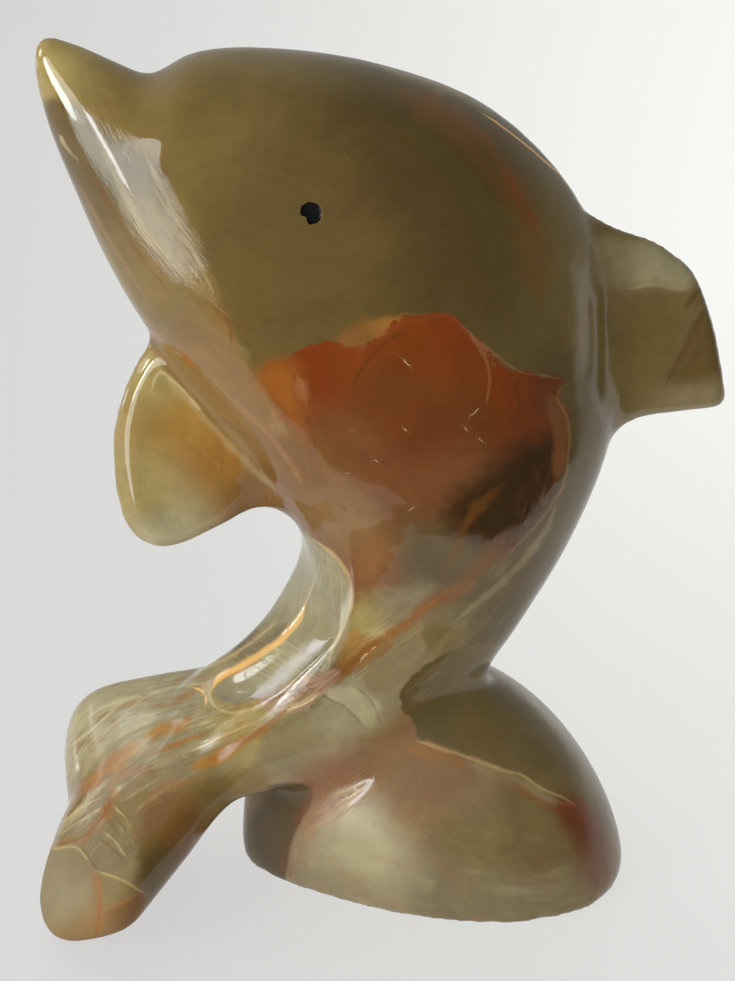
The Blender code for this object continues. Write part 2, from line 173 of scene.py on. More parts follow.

# Zones in the stone, later ones on top: name, softness and raggedness of
# the edge and reach of the tones in pixels, outline in the photograph's frame (none for the whole
# piece), and one tone or a few that blend from one place to the next
TONE_CORE = 0.2  # how evenly a tone holds close to its place
ZONES = [
    ("body", 0, 0, 70, None, [
        (60, 70, STRAW), (110, 105, SAND), (215, 110, OLIVE), (310, 210, BARK), (420, 150, UMBER),
        (470, 260, UMBER), (575, 250, OLIVE), (585, 430, SMOKE), (520, 600, SMOKE),
    ]),
    ("throat", 7, 8, 60, [
        (60, 90), (110, 135), (140, 150), (174, 175), (187, 215), (222, 308), (252, 371), (292, 431),
        (330, 500), (345, 560), (300, 540), (262, 480), (180, 400), (120, 320), (70, 210), (30, 110),
    ], [
        (85, 160, BARK), (150, 270, SAND), (235, 385, HONEY), (310, 505, CARAMEL),
    ]),
    ("chest_fin", 3, 3, 45, [
        (150, 345), (163, 368), (199, 409), (252, 466), (285, 497), (268, 520), (230, 530), (190, 550),
        (140, 565), (100, 520), (95, 450), (108, 390), (132, 350),
    ], [
        (165, 375, STRAW), (190, 420, AMBER), (225, 455, GINGER), (262, 495, CARAMEL),
        (145, 490, STRAW), (165, 532, MILK),
    ]),
    ("flank", 14, 10, 40, [
        (566, 240), (600, 240), (622, 300), (614, 420), (602, 480), (570, 560), (545, 600), (530, 590),
        (560, 520), (574, 440), (568, 340),
    ], [(590, 300, OLIVE), (590, 430, SMOKE)]),
    ("back_fin", 6, 5, 45, [
        (598, 230), (640, 236), (700, 250), (740, 300), (740, 420), (620, 440), (605, 400), (604, 310),
    ], [
        (630, 250, KHAKI), (645, 350, OLIVE), (705, 395, PUTTY),
    ]),
    # painted reflection: the light grey-green reflection on the back fin's upper part
    ("fin_light", 9, 12, 40, [
        (588, 246), (605, 236), (625, 238), (665, 242), (700, 265), (697, 282), (683, 289), (668, 286),
        (649, 283), (628, 289), (605, 290), (592, 270),
    ], [(610, 262, PUTTY), (660, 268, SAGE)]),
    ("fin_shadow", 13, 12, 40, [
        (706, 306), (725, 330), (728, 375), (700, 386), (664, 384), (676, 362), (690, 340),
    ], BARK),
    ("blaze", 6, 14, 40, [
        (328, 356), (336, 340), (350, 326), (364, 318), (404, 318), (436, 314), (440, 327), (404, 338),
        (380, 352),
    ], [(348, 334, CARAMEL), (400, 325, GINGER)]),
    ("rust", 1.5, 20, 45, [
        (259, 372), (269, 362), (287, 362), (299, 351), (310, 345), (336, 343), (360, 350), (374, 342),
        (392, 325), (406, 317), (436, 312), (451, 313), (470, 332), (488, 350), (510, 371), (529, 373),
        (565, 377), (556, 395), (565, 407), (567, 436), (561, 474), (548, 500), (522, 526), (500, 562),
        (450, 595), (400, 625), (352, 625), (351, 585), (339, 561), (322, 545), (338, 518), (322, 484),
        (304, 455), (286, 420), (270, 398),
    ], [
        (325, 362, COPPER), (430, 335, COPPER), (390, 405, BRICK), (505, 385, COPPER), (350, 450, ROSE),
        (470, 420, BRICK), (548, 392, BRICK), (400, 540, ROSE),
    ]),
    ("ember", 15, 20, 30, [
        (256, 378), (268, 362), (290, 360), (303, 372), (300, 396), (297, 420), (304, 442), (292, 436),
        (282, 418), (268, 398),
    ], RUSSET),
    ("moss", 26, 20, 40, [
        (400, 480), (450, 452), (505, 455), (520, 500), (490, 555), (455, 600), (405, 600), (392, 555),
        (388, 510),
    ], [(450, 485, ROSE), (445, 560, SMOKE)]),
    ("pitch", 18, 24, 30, [
        (450, 500), (490, 470), (530, 440), (560, 430), (564, 470), (546, 508), (516, 542), (470, 545),
        (446, 525),
    ], PITCH),
    ("blush", 24, 16, 40, [
        (288, 430), (312, 442), (345, 475), (380, 510), (398, 555), (385, 595), (352, 604), (342, 568),
        (322, 545), (300, 505), (280, 462),
    ], [(300, 460, CARAMEL), (345, 520, CLAY), (370, 570, SALMON)]),
    ("band", 3, 6, 30, [
        (541, 397), (551, 394), (562, 400), (568, 430), (565, 468), (556, 484), (550, 468), (556, 440),
    ], ROSE),
    ("stem", 4, 5, 40, [
        (300, 530), (310, 540), (339, 561), (351, 585), (350, 610), (347, 628), (334, 645), (330, 669),
        (336, 684), (300, 715), (262, 735), (200, 720), (230, 660), (270, 620), (290, 560),
    ], [(325, 590, SAGE), (270, 690, PUTTY)]),
    ("seam", 14, 16, 40, [
        (352, 600), (385, 592), (440, 580), (418, 618), (380, 642), (350, 678), (336, 665), (350, 628),
    ], [(360, 622, STRAW), (400, 605, PUTTY)]),
    ("meadow", 9, 16, 50, [
        (428, 604), (470, 588), (500, 560), (520, 575), (486, 622), (454, 655), (421, 684), (415, 715),
        (400, 745), (330, 790), (280, 790), (240, 790), (225, 765), (262, 735), (300, 715), (336, 684),
        (359, 656), (401, 628),
    ], [
        (475, 598, SMOKE), (445, 625, KHAKI), (400, 665, PUTTY), (350, 705, SAGE), (280, 750, PUTTY),
    ]),
    ("glade", 3, 8, 40, [
        (360, 668), (390, 642), (412, 622), (424, 618), (420, 632), (428, 648), (414, 668), (392, 690),
        (372, 694),
    ], PUTTY),
    ("leaf", 3, 8, 40, [
        (321, 694), (340, 686), (355, 686), (366, 694), (378, 698), (382, 708), (374, 714), (377, 725),
        (368, 730), (355, 716), (340, 704),
    ], MILK),
    ("ribbon", 5, 16, 30, [
        (352, 626), (366, 634), (384, 636), (407, 620), (424, 600), (446, 588), (470, 578), (474, 586),
        (450, 598), (428, 610), (412, 626), (392, 640), (383, 655), (366, 664), (350, 672), (338, 684),
        (330, 680), (338, 664), (346, 648),
    ], [(362, 634, AMBER), (374, 652, HONEY), (340, 676, CARAMEL), (440, 600, CARAMEL)]),
    ("foam", 3, 8, 30, [
        (352, 616), (351, 630), (346, 642), (338, 656), (332, 668), (322, 678), (318, 674), (328, 658),
        (338, 642), (345, 628), (348, 616),
    ], SAGE),
    ("tail", 6, 10, 50, [
        (60, 680), (110, 670), (200, 655), (245, 650), (262, 672), (275, 715), (262, 735), (250, 775),
        (200, 850), (150, 910), (60, 960), (20, 960), (20, 860), (50, 760),
    ], [
        (90, 735, MILK), (130, 712, MILK), (170, 695, SAGE), (240, 718, STRAW), (190, 750, PUTTY),
        (110, 785, SAND), (70, 830, PUTTY),
    ]),
    ("patch_low", 4, 16, 30, [
        (140, 739), (150, 730), (166, 722), (190, 717), (194, 722), (178, 734), (160, 739), (147, 742),
    ], MARIGOLD),
    ("patch_high", 4, 16, 30, [
        (188, 770), (200, 758), (216, 750), (232, 744), (246, 738), (238, 751), (222, 763), (206, 771),
    ], MARIGOLD),
    ("stream", 4, 14, 30, [
        (146, 744), (132, 758), (112, 774), (94, 790), (82, 796), (84, 786), (100, 768), (118, 752),
        (134, 742),
    ], MARIGOLD),
    ("channel", 2, 2, 40, [
        (318, 600), (334, 612), (338, 636), (322, 652), (300, 672), (283, 688), (262, 697), (240, 703),
        (222, 702), (212, 690), (222, 678), (250, 664), (280, 644), (298, 624), (308, 606),
    ], [(228, 690, SAGE), (285, 672, MILK), (315, 625, SAGE)]),
    ("wool", 3, 12, 30, [
        (255, 702), (270, 695), (287, 685), (306, 675), (325, 671), (345, 669), (337, 681), (325, 690),
        (320, 700), (306, 709), (291, 714), (270, 713),
    ], HEATHER),
    ("rock", 7, 12, 60, [
        (225, 785), (262, 777), (304, 779), (330, 762), (380, 735), (404, 722), (398, 703), (420, 720),
        (446, 708), (470, 680), (486, 664), (500, 650), (640, 650), (660, 960), (230, 960),
    ], [
        (365, 850, MILK), (415, 795, CLAY), (350, 895, PUTTY), (460, 905, ASH), (560, 850, KHAKI),
    ]),
    ("petal", 20, 18, 50, [
        (285, 781), (330, 754), (380, 728), (410, 708), (432, 744), (475, 764), (450, 782), (380, 792),
        (330, 806), (312, 806),
    ], [(320, 775, SALMON), (390, 758, CLAY), (445, 758, CLAY)]),
    # painted reflection over real fibres: the window's bright streak in the fillet between tail and rock
    ("quill", 3, 8, 30, [
        (377, 777), (345, 786), (327, 795), (320, 812), (306, 834), (330, 823), (354, 809), (368, 794),
    ], HEATHER),
    ("oval", 26, 20, 40, [
        (420, 835), (452, 806), (505, 802), (545, 815), (550, 862), (492, 882), (440, 874),
    ], KHAKI),
    ("scallop", 1, 9, 60, [
        (398, 698), (411, 674), (454, 647), (500, 640), (640, 650), (660, 760), (640, 850), (596, 822),
        (578, 803), (562, 793), (543, 786), (521, 770), (508, 768), (468, 754), (457, 749), (446, 748),
        (428, 741), (414, 738), (418, 726), (404, 712),
    ], [(425, 695, SMOKE), (490, 715, OLIVE), (540, 750, KHAKI)]),
    ("flush", 14, 18, 40, [
        (553, 797), (580, 798), (602, 812), (618, 850), (615, 890), (585, 888), (575, 845), (558, 818),
    ], [(582, 815, BRICK), (600, 865, ROSE)]),
    # the rock's darker stone under the tail, with painted shade where the tail shades it
    ("under", 2.5, 5, 40, [
        (225, 785), (259, 784), (291, 781), (308, 785), (314, 798), (304, 819), (292, 837), (285, 875),
        (280, 900), (230, 890),
    ], [(295, 795, UMBER), (262, 835, UMBER)]),
    # the near lobe's downturned side: brown stone with painted shade
    ("fluke", 9, 16, 50, [
        (136, 826), (144, 808), (149, 798), (167, 787), (195, 779), (225, 774), (262, 768), (275, 790),
        (200, 860), (150, 915), (139, 893), (134, 855),
    ], [(155, 860, BARK), (172, 825, CARAMEL), (225, 785, SAND)]),
    ("tip", 1, 2, 40, [
        (20, 846), (48, 847), (78, 845), (89, 860), (96, 870), (121, 879), (142, 895), (150, 905),
        (120, 960), (20, 960),
    ], [(65, 890, PUTTY), (118, 905, CARAMEL), (95, 935, HONEY)]),
    ("facet", 2, 3, 40, [
        (97, 872), (121, 880), (140, 894), (126, 902), (110, 909), (100, 914),
    ], SAND),
]
SATIN = {  # zones with a softer polish, and how much softer
    "rock": 0.22,
    "tip": 0.60,
    "tail": 0.08,
    "flank": 0.12,
}
SATIN_EDGE = (-3, 8)
POLISH = 0.015  # roughness of the best polish
POLISH_WEAR = 0.07
POLISH_FIBRES = 0.35
BUMP_FIBRES = 1.5
ENAMEL = (0.006, 0.006, 0.006, 1)

# Noises in the stone: scale, detail, roughness and distortion
NOISES = {
    "ragged": (480, 3, 0.68, 0),
    "cloud": (75, 4, 0.62, 1.2),
    "drift": (75, 1, 0.5, 0),
    "fibres": (1, 3, 0.65, 0),
    "streams": (1, 3, 0.62, 0),
    "grain": (520, 3, 0.6, 0),
    "swirl": (32, 1, 0.5, 0),
    "bands": (1, 3, 0.7, 0),
    "curds": (170, 4, 0.6, 0),
    "warmth": (110, 2, 0.55, 0),
    "broken": (240, 3, 0.6, 0),
    "fading": (130, 1, 0.5, 0),
    "relief": (160, 2, 0.55, 0),
}
MILKY = (0.10, 0.30)  # lightness between which the stone turns milky, with bands and curds
CLOUD_LIGHT = 0.65  # how strongly each of these lightens and darkens it
GRAIN_LIGHT = 0.26
BAND_LIGHT = 0.35
CURD_LIGHT = 0.50
STREAK_LIGHT = 1.2
BAND_COUNT = 16
HUE_TURN = 0.02

# Fibres in the stone: reach to each side in pixels, how fibrous, how stained, and the way they run
FIBRE_SIZE = (0.035, 0.42, 1.5)  # scales along and across the fibres, and how they drift
STREAM_SIZE = (0.020, 0.12, 1.3)
FLOW_FADE = 1.5  # reaches at which a run is gone
FLOW_ENDS = 8
FLOWS = [
    (26, 1.0, 0.1, [(78, 95), (100, 140), (130, 190), (165, 240), (215, 300)]),
    (22, 0.25, 0.2, [(215, 300), (260, 370), (320, 470)]),
    (26, 0.7, 0.1, [(322, 545), (330, 590), (326, 615), (318, 632)]),
    (36, 1.0, 0.0, [(222, 636), (262, 656), (300, 676), (326, 690)]),
    (30, 0.7, 1.0, [(280, 705), (235, 722), (190, 742), (140, 765), (100, 800), (60, 850)]),
    (26, 0.6, 0.7, [(225, 680), (180, 692), (140, 702), (105, 715), (75, 750), (60, 800)]),
    (20, 0.9, 0.5, [(440, 600), (400, 625), (350, 665), (310, 695), (270, 715), (240, 740)]),
    (16, 0.9, 0.5, [(104, 800), (122, 824), (140, 852)]),
    (24, 0.3, 0.1, [(250, 770), (215, 795), (170, 840), (140, 880)]),
    (30, 0.12, 0.15, [(560, 440), (535, 540), (490, 610), (440, 660), (390, 700), (300, 740)]),
    (24, 0.2, 0.0, [(610, 290), (600, 400), (590, 460)]),
    (16, 1.4, 0.0, [(378, 776), (345, 800), (305, 833)]),
    (50, 0.12, 0.25, [(290, 838), (350, 850), (430, 872), (520, 885), (610, 870)]),
]

# Kinds of vein, and of painted highlight, glow, reflection and shade drawn like veins: colour,
# and from 0 to 1 how solid it is, how soft its sides are and how broken it is
VEINS_AND_PAINTED_LIGHT = {
    # orange-brown haze in the stone, and painted shade in the throat's fold
    "haze_and_fold_shade": ((108, 70, 30), 0.55, 1.0, 1.0),
    # milky veins, and painted reflections and sheen
    "mist_and_reflection": ((170, 164, 134), 0.32, 1.0, 0.7),
    "vein": ((112, 70, 30), 0.75, 0.8, 0.8),
    "bark": ((74, 48, 22), 0.55, 0.9, 0.9),
    # pale veins, and painted highlights where the polish catches the light
    "pale_and_highlight": ((200, 196, 166), 0.45, 0.9, 0.8),
    "umber": ((84, 72, 48), 0.45, 1.0, 0.8),
    "ochre": ((148, 98, 42), 0.65, 1.0, 1.0),
    "red": ((126, 66, 40), 0.50, 1.0, 1.0),
    "blush": ((156, 120, 90), 0.40, 1.0, 0.9),
    "cream": ((196, 180, 138), 0.50, 0.8, 0.6),
    # painted glow: light shining through thin edges of the stone
    "painted_glow": ((230, 190, 128), 0.85, 0.6, 0.15),
    # painted highlight: bluish-white streaks of the window's reflection in the polish
    "painted_highlight": ((212, 220, 246), 0.75, 1.0, 0.5),
    # white flecks in the stone, and painted glints where the polish catches the light
    "fleck_and_glint": ((220, 212, 188), 0.60, 0.6, 0.8),
}
VEIN_BREAKS = 2.4  # how far noise breaks up a vein, frays it and lets it fade
VEIN_RAGS = 1.8
VEIN_FADES = 0.55
VEIN_CORE = 0.9  # share of the half width over which a hard vein is full
FADING = (0.30, 0.62)
STAINS = [  # colour, the noise at which it begins and is full, and how solid it is
    ((184, 180, 150), 0.47, 0.32, 0.6),
    ((140, 98, 48), 0.53, 0.68, 0.8),
]

# Veins, and painted highlights, glows, reflections and shade drawn like them, by where they run:
# kind, half width in pixels, and the way in the photograph's frame
HEAD_LINES = [
    ("haze_and_fold_shade", 13.0, [(392, 90), (435, 108), (474, 134), (498, 162), (512, 190), (528, 224), (538, 260),
                    (540, 300)]),
    ("vein", 3.2, [(470, 124), (490, 143), (503, 164), (514, 188), (528, 214), (538, 238)]),
    # painted glow: a bright amber line of light through the thin crest
    ("painted_glow", 0.9, [(481, 112), (504, 127), (528, 147), (547, 163), (564, 178)]),
    # painted sheen: a grey light along the back's top edge
    ("mist_and_reflection", 6.0, [(380, 66), (432, 80), (480, 98), (510, 118)]),
    # painted shade: a soft brown line in the throat's fold
    ("haze_and_fold_shade", 2.2, [(140, 236), (166, 267), (199, 290), (224, 315), (233, 332), (231, 352)]),
    ("haze_and_fold_shade", 2.0, [(92, 172), (112, 212), (140, 256), (170, 294)]),
    # painted highlight: a small streak of reflected light on the beak
    ("pale_and_highlight", 1.5, [(56, 132), (66, 146), (77, 160)]),
    ("blush", 1.6, [(79, 183), (95, 215), (112, 244), (132, 276), (151, 306)]),
    # painted reflection: the window's milky reflection on the throat
    ("mist_and_reflection", 3.0, [(79, 102), (96, 128), (111, 168), (131, 214), (157, 250), (190, 282), (222, 312)]),
    ("mist_and_reflection", 2.0, [(144, 155), (155, 178), (167, 204), (190, 243), (216, 302)]),
    # painted highlight: a bright streak of the window's reflection on the throat
    ("painted_highlight", 1.5, [(82, 106), (96, 130), (110, 158), (129, 191)]),
    ("fleck_and_glint", 0.4, [(347, 155), (350, 159)]),
]
PATCH_LINES = [
    ("red", 2.4, [(304, 348), (335, 348), (352, 350), (372, 348), (386, 333), (404, 322), (430, 317),
                  (448, 314), (459, 325), (474, 340), (493, 354), (512, 372)]),
    ("blush", 1.0, [(452, 314), (474, 337), (493, 351), (512, 369), (533, 374), (563, 379)]),
    ("blush", 1.2, [(564, 381), (553, 398), (564, 413), (570, 432), (565, 484), (551, 505), (533, 528),
                    (500, 560)]),
    ("haze_and_fold_shade", 4.0, [(507, 482), (490, 498), (472, 515), (460, 535), (452, 556), (440, 575)]),
    ("bark", 1.8, [(352, 392), (357, 378), (368, 362), (382, 347), (396, 336), (412, 328)]),
    ("blush", 1.6, [(470, 334), (482, 350), (490, 366), (491, 384), (487, 404)]),
    ("blush", 5.0, [(300, 380), (304, 392), (306, 404)]),
    ("bark", 1.4, [(520, 376), (516, 392), (522, 410), (514, 430)]),
    ("mist_and_reflection", 3.0, [(556, 505), (540, 540), (510, 575), (480, 600), (455, 620)]),
    ("fleck_and_glint", 0.45, [(373, 458), (379, 462)]),
    ("fleck_and_glint", 0.45, [(478, 438), (484, 444)]),
    ("fleck_and_glint", 0.4, [(348, 428), (353, 431)]),
    ("fleck_and_glint", 0.45, [(404, 427), (407, 431)]),
    ("fleck_and_glint", 0.5, [(402, 360), (410, 368)]),
    ("fleck_and_glint", 0.45, [(472, 418), (481, 407)]),
    ("fleck_and_glint", 0.4, [(343, 471), (350, 472)]),
    ("fleck_and_glint", 0.4, [(464, 427), (470, 432)]),
    ("fleck_and_glint", 0.4, [(408, 512), (416, 507)]),
]
FIN_LINES = [
    ("ochre", 3.2, [(148, 322), (155, 334), (173, 350), (199, 371)]),
    ("blush", 2.2, [(199, 371), (220, 388), (239, 405), (262, 430), (285, 454), (305, 490)]),
    ("mist_and_reflection", 3.0, [(163, 371), (199, 411), (252, 468), (279, 494)]),
    # painted highlight: the chevron and the bright spot where the chest fin's rim catches the window
    ("pale_and_highlight", 1.6, [(152, 390), (156, 377), (162, 370), (176, 382), (190, 396), (204, 413)]),
    ("fleck_and_glint", 2.2, [(138, 374), (144, 365), (149, 356)]),
    ("bark", 3.6, [(706, 306), (696, 326), (686, 346), (676, 362), (665, 382)]),
    ("bark", 2.6, [(700, 288), (690, 300), (681, 309)]),
    # painted reflection: the lower edge of the light on the back fin
    ("mist_and_reflection", 2.0, [(628, 289), (649, 283), (668, 286), (683, 289), (692, 282)]),
    ("fleck_and_glint", 0.4, [(204, 453), (206, 456)]),
    ("fleck_and_glint", 0.4, [(218, 464), (221, 466)]),
]
STEM_LINES = [
    ("cream", 1.8, [(310, 540), (325, 549), (339, 561), (349, 576), (352, 593), (351, 607), (347, 628),
                    (334, 644), (330, 669)]),
    ("blush", 3.5, [(352, 632), (344, 642), (338, 652)]),
    ("haze_and_fold_shade", 6.0, [(505, 535), (481, 562), (460, 588), (430, 606)]),
    ("vein", 3.0, [(460, 588), (427, 602), (407, 623), (391, 632), (366, 649), (354, 660), (334, 680)]),
    ("ochre", 3.0, [(440, 596), (417, 614), (396, 630), (377, 640), (360, 656)]),
    ("blush", 1.0, [(421, 613), (414, 622), (418, 634), (426, 646)]),
    ("red", 1.8, [(345, 671), (335, 679), (322, 690), (312, 697)]),
    ("fleck_and_glint", 0.8, [(359, 662), (364, 655), (369, 652)]),
    ("fleck_and_glint", 0.7, [(370, 650), (374, 646), (378, 644)]),
    ("bark", 1.6, [(258, 704), (280, 696), (300, 690), (318, 682)]),
    ("bark", 1.2, [(272, 711), (290, 705), (306, 699), (325, 688)]),
    ("pale_and_highlight", 2.2, [(286, 708), (300, 704), (312, 698), (322, 688)]),
    ("fleck_and_glint", 0.6, [(282, 712), (302, 706), (318, 697)]),
    # painted glow: the golden band where light shines through the channel's rim
    ("painted_glow", 3.2, [(308, 601), (302, 617), (292, 630), (279, 643), (262, 654), (233, 671), (219, 678),
                   (211, 692)]),
    # painted highlight: a thin white line of reflected light at the channel's rim
    ("pale_and_highlight", 0.8, [(318, 567), (313, 588), (308, 603)]),
    ("cream", 1.5, [(279, 621), (262, 636), (241, 651), (224, 661), (200, 670)]),
    ("umber", 2.6, [(290, 621), (275, 637), (255, 649), (236, 660)]),
    ("cream", 1.3, [(211, 690), (211, 702), (220, 710), (231, 713), (251, 709), (262, 706)]),
    # painted highlight: the bright streak of reflected light along the channel
    ("painted_highlight", 5.5, [(250, 697), (268, 690), (284, 676), (297, 663), (312, 649), (328, 640)]),
    ("umber", 1.3, [(321, 696), (342, 705), (354, 716), (363, 726)]),
    ("umber", 1.1, [(352, 685), (364, 692), (373, 704), (380, 724)]),
]
TAIL_LINES = [
    ("ochre", 2.5, [(262, 660), (240, 672), (220, 680), (200, 690), (170, 700)]),
    # painted glow at the lower end of the channel's golden band
    ("painted_glow", 1.2, [(195, 688), (203, 690), (208, 697), (206, 704)]),
    ("pale_and_highlight", 1.2, [(130, 709), (140, 700), (153, 692), (178, 686), (205, 683)]),
    ("pale_and_highlight", 1.5, [(91, 715), (104, 706), (124, 699), (146, 695)]),
    ("pale_and_highlight", 1.2, [(67, 749), (85, 735), (100, 722), (121, 704)]),
    ("mist_and_reflection", 4.0, [(80, 780), (92, 760), (110, 745), (132, 730), (160, 712)]),
    ("mist_and_reflection", 3.0, [(150, 770), (175, 755), (205, 742), (235, 730)]),
    ("ochre", 4.0, [(205, 762), (226, 751), (243, 741), (261, 731), (277, 717), (288, 708)]),
    ("vein", 1.8, [(215, 757), (240, 744), (258, 731), (274, 719), (286, 710)]),
    ("cream", 1.0, [(190, 752), (214, 740), (236, 730), (256, 722)]),
    ("ochre", 4.4, [(142, 744), (124, 754), (104, 768), (88, 784), (75, 794)]),
    ("blush", 3.5, [(143, 749), (125, 752), (109, 762), (96, 774)]),
    ("ochre", 4.6, [(112, 782), (113, 792), (110, 806), (96, 828), (77, 841), (46, 847)]),
    ("vein", 1.6, [(112, 790), (109, 808), (95, 828), (77, 842), (50, 848)]),
    ("vein", 1.4, [(100, 776), (88, 788), (78, 804), (66, 820)]),
    ("blush", 1.6, [(56, 815), (71, 801), (93, 788), (108, 784)]),
    ("cream", 1.0, [(60, 825), (76, 812), (92, 802), (104, 798)]),
    ("cream", 0.9, [(58, 836), (74, 826), (90, 815), (102, 808)]),
    ("ochre", 2.6, [(144, 810), (149, 798), (167, 787), (195, 779), (215, 773)]),
    ("umber", 1.2, [(118, 812), (128, 822), (134, 838)]),
    ("umber", 1.2, [(108, 822), (120, 834), (128, 850)]),
    ("umber", 1.0, [(98, 838), (110, 846), (124, 862)]),
    ("pale_and_highlight", 1.2, [(114, 806), (124, 816), (131, 830)]),
    ("pale_and_highlight", 1.2, [(104, 832), (116, 842), (126, 858)]),
    ("umber", 1.1, [(81, 847), (89, 860), (96, 870)]),
    ("ochre", 3.4, [(91, 870), (98, 888), (99, 911), (95, 938)]),
    ("vein", 1.3, [(98, 890), (98, 911), (95, 930), (94, 940)]),
    ("ochre", 1.6, [(138, 895), (124, 902), (110, 908), (100, 914)]),
    ("cream", 1.2, [(96, 871), (121, 880), (141, 895)]),
    ("cream", 1.3, [(49, 851), (64, 849), (78, 847), (88, 862)]),
]
ROCK_LINES = [
    ("cream", 1.4, [(414, 741), (428, 744), (446, 751), (457, 752), (468, 757), (508, 771), (521, 773),
                    (543, 789), (562, 796), (578, 806)]),
    ("mist_and_reflection", 5.0, [(468, 763), (508, 778), (521, 780), (543, 797), (566, 804)]),
    ("ochre", 4.5, [(405, 752), (428, 750), (446, 756), (466, 764)]),
    ("red", 3.0, [(489, 771), (513, 783), (533, 798), (553, 806), (576, 810), (592, 820)]),
    ("red", 7.0, [(560, 802), (578, 808), (590, 818), (594, 836)]),
    ("red", 9.0, [(307, 783), (317, 797), (308, 819), (296, 837), (290, 858), (290, 880)]),
    ("blush", 7.0, [(318, 800), (314, 822), (306, 842), (302, 872)]),
    # painted highlight over real fibres: the window's reflection in the fillet between tail and rock
    ("painted_highlight", 1.5, [(375, 777), (364, 794), (347, 808)]),
    ("pale_and_highlight", 2.2, [(364, 794), (346, 808), (323, 822), (303, 834)]),
    ("painted_highlight", 0.7, [(372, 780), (361, 784), (348, 790)]),
    ("pale_and_highlight", 1.2, [(366, 783), (346, 792), (329, 796)]),
    ("fleck_and_glint", 0.7, [(368, 786), (354, 796), (338, 803)]),
    ("fleck_and_glint", 0.6, [(356, 806), (348, 815), (342, 822)]),
]
LINES = HEAD_LINES + PATCH_LINES + FIN_LINES + STEM_LINES + TAIL_LINES + ROCK_LINES
GATE = (4.5, 7.5)  # pixels from a line's edge beyond which nothing of it shows
TAPER = 0.12  # share of a line's length over which each of its ends thins out
THINNEST = 0.15
BEYOND = 99.0  # stands for a line that is too far away to matter
MARGIN = 4  # pixels past the gate within which lines are measured

# Wandering of the pattern, in pixels: small where the photograph shows the stone, large behind
WANDER_FINE = 1.1
WANDER_NEAR = 3.0
WANDER_FAR = 34.0
WANDER_WIDE_SCALE = 55
WANDER_FINE_SCALE = 260
SEED = 1  # without it the wandering would follow the clock
UP = Vector((0, 0, 1))


def srgb(colour):
    """A colour of 0 to 255 as linear light."""
    share = np.array(colour) / 255
    return np.where(share <= 0.04045, share / 12.92, ((share + 0.055) / 1.055) ** 2.4)


def lifted(colour):
    """The stone's own colour where it looks like this one."""
    return (*np.minimum(srgb(colour) * LIFT, BRIGHTEST), 1)


def share_between(values, low, high):
    """0 at low and 1 at high, in a straight line between."""
    return np.clip((values - low) / (high - low), 0, 1)


def smooth(share):
    """The share with a soft start and end."""
    return share * share * (3 - 2 * share)


def camera_axes():
    """The camera's place, and the directions it calls right, up and back."""
    flat = math.cos(CAMERA_ELEVATION)
    back = Vector((
        math.sin(CAMERA_AZIMUTH) * flat,
        -math.cos(CAMERA_AZIMUTH) * flat,
        math.sin(CAMERA_ELEVATION),
    ))
    right = UP.cross(back).normalized()
    return CAMERA_TARGET + back * CAMERA_DISTANCE, right, back.cross(right), back


def in_photo(points):
    """Where points are in the photograph's frame, in pixels from its top left."""
    place, right, up, back = (np.array(axis) for axis in camera_axes())
    away = np.asarray(points) - place
    depth = -(away @ back)
    across = FRAME_WIDTH / 2 + FOCAL_PIXELS * (away @ right) / depth
    down = FRAME_HEIGHT / 2 - FOCAL_PIXELS * (away @ up) / depth
    return np.stack([across, down], axis=1)


def make_camera():
    place, right, up, back = camera_axes()
    data = bpy.data.cameras.new("camera")
    data.sensor_fit = "VERTICAL"
    data.sensor_height = 24.0
    data.lens = FOCAL_PIXELS * data.sensor_height / FRAME_HEIGHT
    data.clip_start = 0.01
    camera = bpy.data.objects.new("camera", data)
    turn = Matrix((right, up, back)).transposed().to_4x4()
    camera.matrix_world = Matrix.Translation(place) @ turn
    bpy.context.scene.collection.objects.link(camera)
    bpy.context.scene.camera = camera


def direction(azimuth, elevation):
    """A unit vector: azimuth in degrees from +Y towards +X, elevation above the floor."""
    turn = math.radians(azimuth)
    rise = math.radians(elevation)
    flat = math.cos(rise)
    return Vector((math.sin(turn) * flat, math.cos(turn) * flat, math.sin(rise)))


def panel(name, azimuth, elevation, distance, width, height, tilt, watts, matt, mirrored):
    """A soft oval light that faces the sculpture and isn't seen by the camera."""
    data = bpy.data.lights.new(name, "AREA")
    data.shape = "ELLIPSE"
    data.color = DAYLIGHT
    data.size = width
    data.size_y = height
    data.energy = watts
    light = bpy.data.objects.new(name, data)
    out = direction(azimuth, elevation)
    light.location = CAMERA_TARGET + out * distance
    light.rotation_euler = out.to_track_quat("Z", "Y").to_euler()
    light.rotation_euler.rotate_axis("Z", math.radians(tilt))
    light.visible_camera = False
    light.visible_diffuse = matt
    light.visible_glossy = mirrored
    bpy.context.scene.collection.objects.link(light)


def plate(name, corners, material):
    """A flat part of the floor at z = 0, within its corners."""
    mesh = bpy.data.meshes.new(name)
    mesh.from_pydata([(x, y, 0) for x, y in corners], [], [tuple(range(len(corners)))])
    made = bpy.data.objects.new(name, mesh)
    made.data.materials.append(material)
    bpy.context.scene.collection.objects.link(made)
    return made


